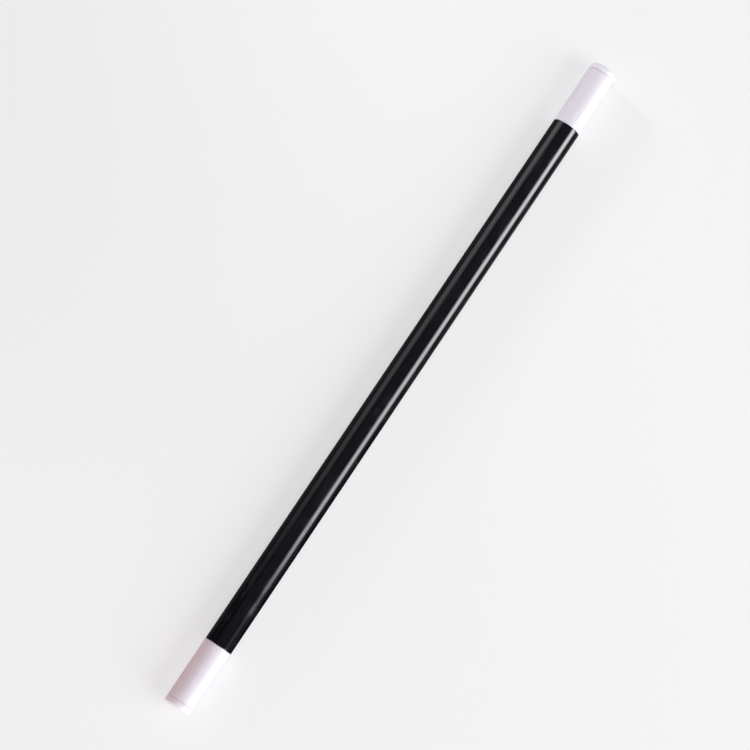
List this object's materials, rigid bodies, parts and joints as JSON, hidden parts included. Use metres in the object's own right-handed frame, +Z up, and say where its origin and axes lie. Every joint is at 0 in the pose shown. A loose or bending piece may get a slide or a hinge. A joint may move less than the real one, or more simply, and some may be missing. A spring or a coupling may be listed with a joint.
{
  "type": "magic wand",
  "caption": "Slim round magic wand: a glossy black tube with a white tip pushed into each end; tips and end plugs pull off.",
  "frame": {"origin": "on the wand's axis at mid-length", "axes": "+X along the wand from the butt end, which is held, to the tip end; +Z up, with the wand lying on its side"},
  "size_m": [0.3, 0.0116, 0.0116],
  "materials": {
    "black_gloss": "polished extrusion",
    "white_gloss": "glossy, slightly milky",
    "natural_plastic": "as moulded"
  },
  "bodies": {
    "wand_body": {"body_tube": "black_gloss"},
    "tip_end": {"tip_coupler": "natural_plastic", "tip_sleeve": "white_gloss"},
    "tip_end_plug": {"tip_plug": "white_gloss"},
    "butt_end": {"butt_coupler": "natural_plastic", "butt_sleeve": "white_gloss"},
    "butt_end_plug": {"butt_plug": "white_gloss"}
  },
  "joints": [
    {"name": "tip_pull", "type": "slide", "parent": "wand_body", "child": "tip_end", "axis": [1, 0, 0], "range_m": [0, 0.025]},
    {"name": "tip_plug_pull", "type": "slide", "parent": "tip_end", "child": "tip_end_plug", "axis": [1, 0, 0], "range_m": [0, 0.015]},
    {"name": "butt_pull", "type": "slide", "parent": "wand_body", "child": "butt_end", "axis": [-1, 0, 0], "range_m": [0, 0.025]},
    {"name": "butt_plug_pull", "type": "slide", "parent": "butt_end", "child": "butt_end_plug", "axis": [-1, 0, 0], "range_m": [0, 0.015]}
  ]
}
